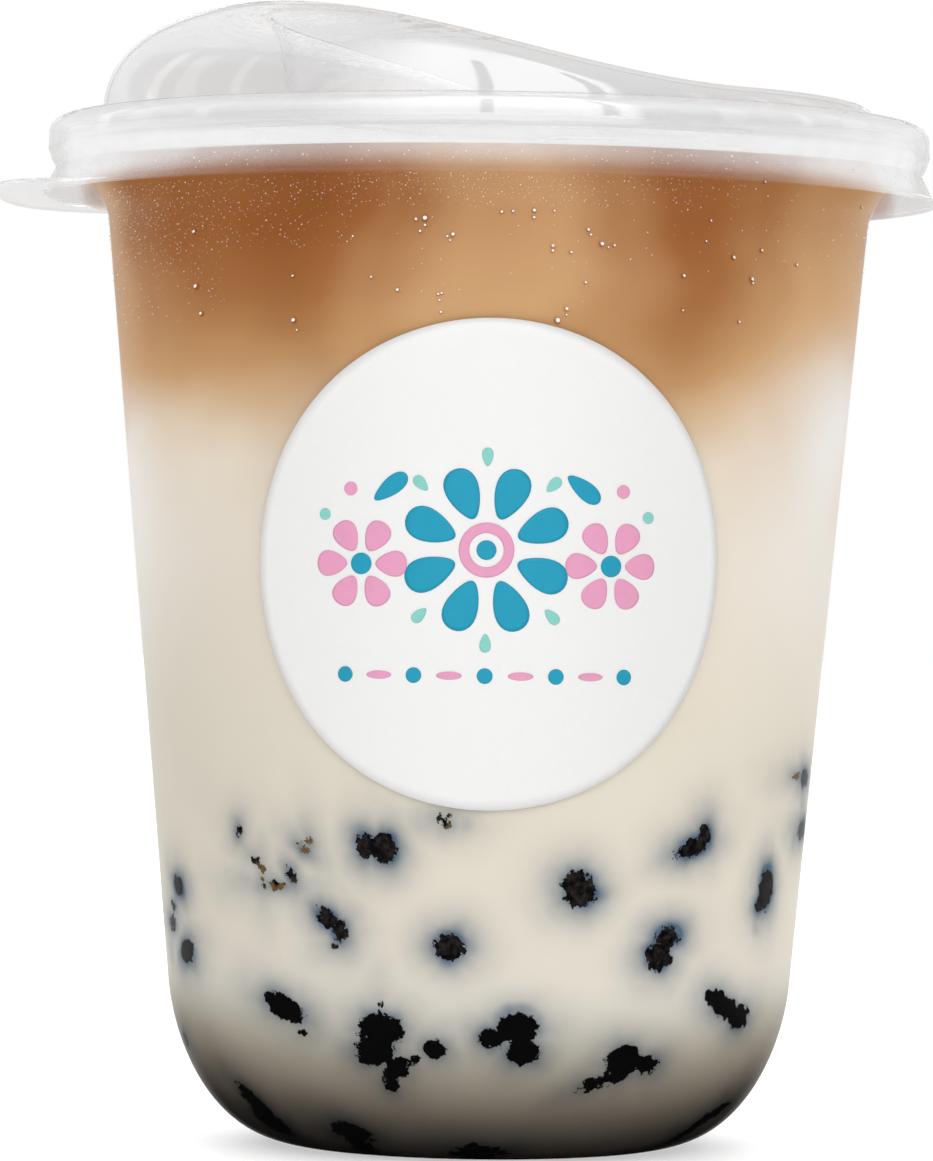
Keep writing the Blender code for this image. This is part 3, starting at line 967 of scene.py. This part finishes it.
def well_point(share, angle):
    """A point inside the crest: a flat floor, then an S-shaped wall up to the crest."""
    distance = share * crest_distance(angle)
    crest = crest_height(CREST_CENTRE + crest_distance(angle) * math.cos(angle))
    height = WELL_FLOOR + (crest - WELL_FLOOR) * smooth(share, WELL_FLAT, 1)
    return Vector((CREST_CENTRE + distance * math.cos(angle), distance * math.sin(angle), height))


def dome_point(share, angle):
    """A point between the crest and the dome's wall, on a full rounded slope."""
    near = crest_distance(angle)
    distance = near + share * (dome_distance(angle) - near)
    x = CREST_CENTRE + distance * math.cos(angle)
    drop = (1 - share**DOME_FULLNESS) ** (1 / DOME_FULLNESS)
    return Vector((x, distance * math.sin(angle), DOME_BASE + (crest_height(x) - DOME_BASE) * drop))


def tab_radius(turn):
    """How far out the skirt's foot and its thumb tab reach in a direction from the cup's axis."""
    low, high = SKIRT_FOOT[0], SKIRT_FOOT[0] + TAB_SEARCH
    for _ in range(TAB_SEARCH_STEPS):
        middle = (low + high) / 2
        along = abs(middle * math.cos(turn) + TAB_CENTRE) / TAB_REACH
        across = abs(middle * math.sin(turn)) / TAB_HALF_WIDTH
        inside = math.cos(turn) < 0 and along**TAB_SQUARENESS + across**TAB_SQUARENESS < 1
        low, high = (middle, high) if inside else (low, middle)
    return low


def axis_turn(angle):
    """The turn round the cup's axis of the dome's foot in a direction from the well's centre."""
    foot = dome_distance(angle)
    return math.atan2(foot * math.sin(angle), CREST_CENTRE + foot * math.cos(angle))


def ring_point(place, angle):
    """A point of the profile outside the dome, from its radius and its height."""
    return around(place[0], axis_turn(angle), place[1])


def tab_point(share, angle):
    """A point between the skirt's foot and the edge of its thumb tab."""
    reach = tab_radius(axis_turn(angle)) - SKIRT_FOOT[0] + SKIRT_LIP
    return ring_point((SKIRT_FOOT[0] + reach * share, SKIRT_FOOT[1]), angle)


def lid_profile():
    """The lid's upper face outside the dome: gutter, ring, waist and skirt."""
    outer_centre = (LID_RADIUS - LID_CORNER, LID_TOP - LID_CORNER)
    inner_centre = (GUTTER_OUTER + GUTTER_CORNER, LID_TOP - GUTTER_CORNER)
    return [(DOME_RADIUS, GUTTER_FLOOR + GUTTER_FILLET), (DOME_RADIUS + GUTTER_FILLET, GUTTER_FLOOR),
            (GUTTER_OUTER - GUTTER_FILLET, GUTTER_FLOOR), (GUTTER_OUTER, GUTTER_FLOOR + GUTTER_FILLET),
            *arc(inner_centre, GUTTER_CORNER, 180, 100, GUTTER_CORNER_POINTS),
            *arc(outer_centre, LID_CORNER, 80, 10, LID_CORNER_POINTS),
            (LID_RADIUS, LID_SIDE_FOOT), LID_BELLY, LID_WAIST, SKIRT_FOOT]


def lid_rings():
    """Each ring of the lid from the well's centre to the tab's edge, as a rule that places its vertices."""
    floor = [WELL_FLAT * i / WELL_FLOOR_RINGS for i in range(WELL_FLOOR_RINGS)]
    wall = [WELL_FLAT + (1 - WELL_FLAT) * i / WELL_WALL_RINGS for i in range(WELL_WALL_RINGS + 1)]
    slope = [math.sin(math.pi / 2 * i / DOME_RINGS) for i in range(1, DOME_RINGS + 1)]
    tab = [i / TAB_RINGS for i in range(1, TAB_RINGS + 1)]
    rules = ((well_point, floor + wall), (dome_point, slope), (ring_point, lid_profile()), (tab_point, tab))
    return [lambda angle, rule=rule, at=at: rule(at, angle) for rule, places in rules for at in places]


def turned_disc(rings, steps, way, opened=False):
    """A disc, or a ring where it is opened, spun from a spoke, whose rings are moved to their places."""
    grid = bmesh.new()
    spin(grid, [(float(i + opened), 0, 0) for i in range(len(rings))], steps, CREST_MERGE)
    for vert in grid.verts:
        ring = round(math.hypot(vert.co.x, vert.co.y)) - opened
        vert.co = rings[ring](math.atan2(vert.co.y, vert.co.x))
    face_away(grid, Vector(way))
    return grid


def length(tree, where):
    return add(tree, "VectorMath", {0: where}, operation="LENGTH").outputs["Value"]


def lid_haze(tree, place):
    """The share of milky haze and fog."""
    height = place["Z"]
    across = calc(tree, "ABSOLUTE", calc(tree, "DIVIDE", place["X"], LID_RADIUS))
    sideways = calc(tree, "POWER", across, SKIRT_SIDE_POWER)
    fog = times(tree, rise(tree, line(tree, sideways, SKIRT_SIDE_DROP, height), *SKIRT_FOG_FROM_TO),
                rise(tree, height, *SKIRT_FOG_TOP), line(tree, sideways, SKIRT_SIDE_FOG, 1.0),
                line(tree, rise(tree, across, *SKIRT_ENDS), SKIRT_END_FOG, 1.0),
                line(tree, rise(tree, across, *SKIRT_FRONT), SKIRT_FRONT_FOG, 1.0), SKIRT_FOG,
                line(tree, noise(tree, *FOG_NOISE), *FOG_MOTTLE))
    ring = times(tree, band(tree, height, *RING_LOW_HIGH, RING_SOFTNESS), RING_HAZE)
    outside = rise(tree, length(tree, on_piece(tree)), *TAB_OUTSIDE)
    tab = times(tree, rise(tree, height, *TAB_FROM_TO), outside, TAB_HAZE)
    fog = calc(tree, "ADD", fog, calc(tree, "ADD", ring, tab))
    return line(tree, rise(tree, height, *UPPER_FROM_TO), LID_HAZE, fog, clamp=True)


def lid_scuffs(tree, place, inward):
    """The share of scratches, which run round the crest, and of the worn line along it."""
    along = times(tree, calc(tree, "ARCTAN2", place["Y"], inward), CREST_HALF_WIDTH)
    outward = calc(tree, "SQRT", line(tree, place["Y"], place["Y"], times(tree, inward, inward)))
    round_crest = add(tree, "CombineXYZ", {0: along, 1: outward, 2: place["Z"]}).outputs[0]
    scuff = field(tree, "scuff")
    scratch = rise(tree, noise(tree, *SCRATCH_NOISE, where=round_crest), *SCRATCH_FROM_TO)
    scratch = times(tree, scratch, scuff, rise(tree, place["Z"], *SCUFF_FROM_TO), SCRATCH)
    worn = times(tree, calc(tree, "POWER", scuff, CREST_LINE_POWER), CREST_LINE)
    return calc(tree, "MAXIMUM", scratch, worn)


def lid_gloss(tree, place, inward):
    """The share of gloss, which the ring and the dome have and the well has less of."""
    oval = add(tree, "CombineXYZ", {0: calc(tree, "DIVIDE", inward, CREST_LENGTH),
                                    1: calc(tree, "DIVIDE", place["Y"], CREST_HALF_WIDTH)}).outputs[0]
    in_well = rise(tree, length(tree, oval), *WELL_FROM_TO)
    return times(tree, edge_gloss(tree, LID_GLOSS), rise(tree, place["Z"], *UPPER_FROM_TO),
                 line(tree, in_well, WELL_DULLED, 1.0))


def make_lid_material():
    material, tree = new_material("clear lid plastic")
    place = add(tree, "SeparateXYZ", {0: on_piece(tree)}).outputs
    inward = calc(tree, "SUBTRACT", place["X"], CREST_CENTRE)
    relief = add(tree, "Bump", {"Strength": 0.20, "Distance": 0.0003,
                                "Height": noise(tree, *LID_WAVES)}).outputs[0]
    film = add(tree, "BsdfPrincipled", {"Base Color": LID_TINT, "Roughness": 0.0, "IOR": LID_BEND,
                                        "Transmission Weight": 1.0, "Normal": relief})
    gloss = add(tree, "BsdfGlossy", {"Color": WHITE, "Roughness": 0.05, "Normal": relief})
    film = layered(tree, lid_gloss(tree, place, inward), film, gloss)
    scuffed = add(tree, "BsdfGlossy", {"Color": WHITE, "Roughness": 0.40})
    film = layered(tree, lid_scuffs(tree, place, inward), film, scuffed)
    milky = add(tree, "BsdfDiffuse", {"Color": HAZE_COLOUR})
    film = layered(tree, lid_haze(tree, place), film, milky)
    bare = add(tree, "BsdfTransparent", {"Color": (LID_BARE, LID_BARE, LID_BARE, 1)})
    path = add(tree, "LightPath").outputs
    for ray in ("Is Diffuse Ray", "Is Shadow Ray"):
        film = layered(tree, path[ray], film, bare)
    show(tree, film)
    return material


def make_lid():
    grid = turned_disc(lid_rings(), LID_STEPS, (0, 0, 1))
    scuff = grid.verts.layers.float.new("scuff")
    for vert in grid.verts:
        angle = math.atan2(vert.co.y, vert.co.x - CREST_CENTRE)
        near, far = crest_distance(angle), dome_distance(angle)
        past = math.hypot(vert.co.x - CREST_CENTRE, vert.co.y) - near
        reach = (far - near) * SCUFF_UNDER_CREST if past >= 0 else near * SCUFF_IN_WELL
        vert[scuff] = math.exp(-abs(past) / reach)
    lid = make_piece("clear_lid", grid, make_lid_material())
    thicken(lid, LID_WALL)
    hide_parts("lid")


make_lid()


# The label: a round white paper sticker, smoothed onto the cup's wall by hand. It carries a plain
# ornament of rosettes and beads in teal, pink and mint, printed flat on the paper.
LABEL_RADIUS = 0.0250
LABEL_HEIGHT = 0.0620
LABEL_TURN = math.radians(0.8)
LABEL_THICKNESS = 0.0003
LABEL_STAND_OFF = 0.0003
LABEL_STEPS = 160
LABEL_RINGS = 24
PAPER_DARK = (0.780, 0.777, 0.772, 1)
PAPER_LIGHT = (0.810, 0.807, 0.802, 1)
FIBRE_NOISE = (2500, 3)
LABEL_FACES = (0, -1, 0)


def on_label(right, up, lift):
    """A point of the flat label, in metres from its middle, wrapped onto the cup's wall."""
    height = LABEL_HEIGHT + up / math.hypot(WALL_TAPER, 1)
    radius = wall_radius(height) + LABEL_STAND_OFF
    return around(radius + lift, right / radius + LABEL_TURN - math.pi / 2, height)


def paper_point(share, angle):
    return on_label(LABEL_RADIUS * share * math.sin(angle), LABEL_RADIUS * share * math.cos(angle), 0.0)


def make_label():
    material, tree = new_material("white paper")
    fibre = noise(tree, *FIBRE_NOISE)
    relief = add(tree, "Bump", {"Strength": 0.15, "Distance": 0.00005, "Height": fibre})
    show(tree, add(tree, "BsdfPrincipled", {
        "Base Color": mixed(tree, fibre, PAPER_DARK, PAPER_LIGHT), "Roughness": 0.45,
        "Specular IOR Level": 0.5, "Normal": relief.outputs[0]}))
    rings = [lambda angle, share=i / LABEL_RINGS: paper_point(share, angle) for i in range(LABEL_RINGS + 1)]
    label = make_piece("label_paper", turned_disc(rings, LABEL_STEPS, LABEL_FACES), material)
    thicken(label, LABEL_THICKNESS, grown=1, even=False)
    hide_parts("label")


make_label()


# The label's print: flat ink in three colours. A rosette of petals round a ring stands between two smaller
# rosettes, under an arch of dots and over a row of beads and dashes.
INK_LIFT = 0.00004
INK_THICKNESS = 0.00002
INK_RINGS = 6
INK_STEPS = 28
INK_NOISE = (600, 3)
INK_DEEP = 0.90
INKS = {"teal": srgb(24, 152, 183), "pink": srgb(227, 156, 189), "mint": srgb(134, 205, 196)}
PRINT_MIDDLE = (-0.0004, 0.0010)
PETAL_SWELL = 0.35

# Rosettes, in mm from the print's middle: the ink, the centre, how many petals, from and to what reach, their
# half width, the first one's place in steps, and which are left out. What stands on the right is mirrored.
ROSETTES = (
    ("teal", (0, 0.5), 8, (3.4, 8.8), 1.65, 0.5, ()), ("mint", (0, 0.5), 8, (8.5, 10.4), 0.55, 0.0, (0, 4)),
    ("pink", (12.8, -1.0), 6, (1.5, 4.8), 1.25, 0.0, ()),
)

# Ovals: the ink, the centre, the half length and half width, the lean in degrees, the swell and the hole.
OVALS = (
    ("pink", (0, 0.5), 2.8, 2.8, 0, 0, 0.62), ("teal", (0, 0.5), 1.0, 1.0, 0, 0, 0),
    ("teal", (12.8, -1.0), 1.1, 1.1, 0, 0, 0), ("teal", (9.8, 6.8), 2.1, 0.9, -38, 0.3, 0),
    ("pink", (14.0, 6.6), 0.7, 0.7, 0, 0, 0), ("mint", (16.8, 4.0), 0.6, 0.6, 0, 0, 0),
)
ROW_BEADS = range(-4, 5)
ROW_STEP = 3.6
ROW_HEIGHT = -12.3
ROW_BEAD = 0.8
ROW_DASH = (1.3, 0.42)


def pour(shape, sheet):
    """Adds a finished shape to the mesh that gathers its kind."""
    mesh = mesh_of("shape", shape)
    sheet.from_mesh(mesh)
    bpy.data.meshes.remove(mesh)


def ink_spot(sheet, centre, half_length, half_width, lean=0.0, swell=0.0, hole=0.0):
    """Adds one closed shape of ink: an oval, a petal where it swells, or a ring where it has a hole."""
    cos, sin = math.cos(lean), math.sin(lean)

    def place(share, angle):
        share = hole + (1 - hole) * share
        along = share * half_length * math.cos(angle)
        across = share * half_width * math.sin(angle) * (1 + swell * math.cos(angle))
        right = PRINT_MIDDLE[0] + (centre[0] + along * cos - across * sin) / 1000
        up = PRINT_MIDDLE[1] + (centre[1] + along * sin + across * cos) / 1000
        return on_label(right, up, LABEL_THICKNESS + INK_LIFT)

    rings = [lambda angle, share=i / INK_RINGS: place(share, angle) for i in range(INK_RINGS + 1)]
    pour(turned_disc(rings, INK_STEPS, LABEL_FACES, opened=hole > 0), sheet)


def rosette(sheet, centre, petals, reach, half_width, first, without):
    """A ring of petals that point outwards from a centre."""
    middle = (reach[0] + reach[1]) / 2
    for i in range(petals):
        if i in without:
            continue
        way = math.tau * (i + first) / petals
        place = (centre[0] + middle * math.cos(way), centre[1] + middle * math.sin(way))
        ink_spot(sheet, place, (reach[1] - reach[0]) / 2, half_width, lean=way, swell=PETAL_SWELL)


def sides_of(centre):
    """Each side that a shape stands on, 1 or -1, with its centre there."""
    sides = (-1, 1) if centre[0] else (1,)
    return [(side, (side * centre[0], centre[1])) for side in sides]


def make_print():
    sheets = {name: bmesh.new() for name in INKS}
    for ink, centre, *petals in ROSETTES:
        for _, place in sides_of(centre):
            rosette(sheets[ink], place, *petals)
    for ink, centre, half_length, half_width, lean, swell, hole in OVALS:
        for side, place in sides_of(centre):
            ink_spot(sheets[ink], place, half_length, half_width, side * math.radians(lean), swell, hole)
    for i in ROW_BEADS:
        centre = (i * ROW_STEP, ROW_HEIGHT)
        if i % 2:
            ink_spot(sheets["pink"], centre, *ROW_DASH)
        else:
            ink_spot(sheets["teal"], centre, ROW_BEAD, ROW_BEAD)
    for name, ink in INKS.items():
        material, tree = new_material(name + " ink")
        wear = noise(tree, *INK_NOISE)
        deep = (*(channel * INK_DEEP for channel in ink[:3]), 1.0)
        show(tree, add(tree, "BsdfPrincipled", {
            "Base Color": mixed(tree, wear, deep, ink), "Roughness": 0.5,
            "Specular IOR Level": 0.25}))
        printed = make_piece("label_print_" + name, sheets[name], material)
        thicken(printed, INK_THICKNESS, grown=1, even=False)


make_print()


# The droplets: fine condensation on the cold cup below its rim and on the lid's skirt, with a few larger
# beads lower down. Each is a tiny ball half sunk in the surface that carries it.
# Their highlights are painted: each large bead has a white spot where it faces the light, and each fine one
# is painted partly or wholly white.
DROPLET_SEED = 5
WATER_TINT = (0.86, 0.76, 0.66, 1)
BEAD_LIGHT = (0.15, 0.0, 0.30)
PAINTED_GLINT_COLOUR = (0.96, 0.96, 0.96, 1)
GLINT_FROM_TO = (0.70, 0.84)
BEAD_BATCH = 60
BEAD_ROUNDS = 3
FINE_ROUNDS = 1
FINE_STRENGTH = 0.35
FINE_THINNING = 0.4
FINE_INSET = 0.1

# One row a bead: its turn to the right of the front in degrees, its height and its radius in mm.
BEADS = (
    (-48.3, 95.9, 0.26), (-48.6, 90.3, 0.32), (-47.8, 87.5, 0.26), (-29.7, 91.1, 0.18), (-29.8, 86.6, 0.30),
    (-29.3, 85.6, 0.15), (-19.9, 95.0, 0.16), (-10.5, 96.7, 0.22), (-9.2, 96.8, 0.34), (-9.2, 96.1, 0.20),
    (-9.9, 95.5, 0.20), (-6.0, 95.0, 0.18), (-5.2, 95.2, 0.27), (-5.6, 94.6, 0.17), (-13.3, 89.6, 0.24),
    (-7.3, 89.2, 0.19), (-6.8, 89.3, 0.19), (-7.1, 88.6, 0.17), (-6.9, 87.4, 0.19), (-17.2, 90.9, 0.18),
    (6.3, 97.7, 0.26), (6.3, 97.0, 0.22), (3.3, 97.6, 0.20), (1.7, 97.5, 0.22), (9.2, 97.7, 0.17),
    (14.2, 95.9, 0.22), (14.6, 95.4, 0.18), (16.3, 94.5, 0.30), (17.3, 94.2, 0.16), (18.2, 94.4, 0.20),
    (9.1, 94.2, 0.24), (9.1, 93.7, 0.22), (11.8, 93.6, 0.20), (14.1, 90.6, 0.20), (11.4, 87.9, 0.25),
    (11.4, 87.3, 0.15), (10.1, 86.7, 0.36), (29.5, 91.6, 0.24), (29.7, 88.1, 0.17), (38.2, 93.7, 0.26),
    (42.1, 91.6, 0.28), (42.4, 91.2, 0.18), (43.7, 94.6, 0.22), (52.0, 93.4, 0.22), (33.6, 97.3, 0.18),
    (33.0, 95.2, 0.17), (40.2, 87.2, 0.20), (41.9, 101.5, 0.20), (71.9, 100.2, 0.18),
)

# One row a patch of fine droplets: its turns in degrees, its heights in mm, how far apart they stand, the
# share that is left, and their radii in mm.
SPRAYS = (
    ((-76, -20), (94.0, 101.3), 0.45, 0.75, (0.026, 0.070)),
    ((-76, -42), (86.5, 94.5), 0.62, 0.60, (0.026, 0.060)),
    ((-20, 18), (98.0, 101.3), 0.38, 0.85, (0.030, 0.075)),
    ((-14, 20), (88.0, 97.0), 1.90, 0.55, (0.045, 0.100)),
    ((18, 40), (98.5, 101.3), 0.50, 0.60, (0.030, 0.065)),
    ((20, 78), (92.0, 101.3), 1.30, 0.50, (0.035, 0.080)),
    ((78, 284), (90.0, 101.3), 1.10, 0.60, (0.040, 0.100)),
    ((-64, 66), (101.8, 103.9), 0.62, 0.70, (0.035, 0.080)),
    ((66, 296), (101.8, 103.9), 1.00, 0.65, (0.040, 0.090)),
)


def wet_point(turn, height, cup_face):
    """A point on the cup's wall, or above the skirt's foot on the skirt, with the way out of it."""
    height /= 1000
    if height > SKIRT_FOOT[1] + SKIRT_LIP / 2:
        share = (height - SKIRT_FOOT[1]) / (LID_WAIST[1] - SKIRT_FOOT[1])
        radius = SKIRT_FOOT[0] + (LID_WAIST[0] - SKIRT_FOOT[0]) * share
    else:
        radius = face_radius(cup_face, height)
    way = math.radians(turn - 90)
    return around(radius, way, height), around(1.0, way, 0.0)


def add_beads(grid, beads):
    """Adds one batch of beads to the droplets, each marked with a painted white highlight where it faces the
    light.
    """
    batch = bmesh.new()
    white = batch.verts.layers.float.new("white")
    for place, size, rounds, lit, strength in beads:
        for vert in add_ball(batch, place, size, rounds):
            facing = (vert.co - place).normalized().dot(lit) if lit else 1.0
            share = (facing - GLINT_FROM_TO[0]) / (GLINT_FROM_TO[1] - GLINT_FROM_TO[0])
            vert[white] = strength * min(max(share, 0.0), 1.0)
    pour(batch, grid)


def make_droplets():
    material, tree = new_material("water droplets")
    clear = add(tree, "BsdfTransparent", {"Color": WATER_TINT})
    painted_glint = add(tree, "BsdfDiffuse", {"Color": PAINTED_GLINT_COLOUR})
    # Painted highlight: white wherever the beads are marked.
    show(tree, layered(tree, field(tree, "white"), clear, painted_glint))

    chance = random.Random(DROPLET_SEED)
    cup_face = cup_profile()[RIM_CURL_POINTS + 1:]
    grid = bmesh.new()
    grid.verts.layers.float.new("white")
    beads = []
    for turn, height, size in BEADS:
        place, out = wet_point(turn, height, cup_face)
        beads.append((place, size / 1000, BEAD_ROUNDS, (out + Vector(BEAD_LIGHT)).normalized(), 1.0))
    for (left, right), (low, high), apart, kept, (smallest, largest) in SPRAYS:
        step = math.degrees(apart / (wall_radius(low / 1000) * 1000))
        for column in range(round((right - left) / step)):
            for row in range(round((high - low) / apart)):
                turn = left + (column + chance.uniform(FINE_INSET, 1 - FINE_INSET)) * step
                height = low + (row + chance.uniform(0.0, 1.0)) * apart
                size = smallest + (largest - smallest) * chance.random() ** 2.0
                strength = FINE_STRENGTH + (1 - FINE_STRENGTH) * chance.random()
                thinning = FINE_THINNING + (1 - FINE_THINNING) * (row * apart) / (high - low)
                if chance.random() < kept * thinning:
                    place, _ = wet_point(turn, height, cup_face)
                    beads.append((place, size / 1000, FINE_ROUNDS, None, strength))
    for start in range(0, len(beads), BEAD_BATCH):
        add_beads(grid, beads[start:start + BEAD_BATCH])
    make_piece("water_droplets", grid, material)


make_droplets()
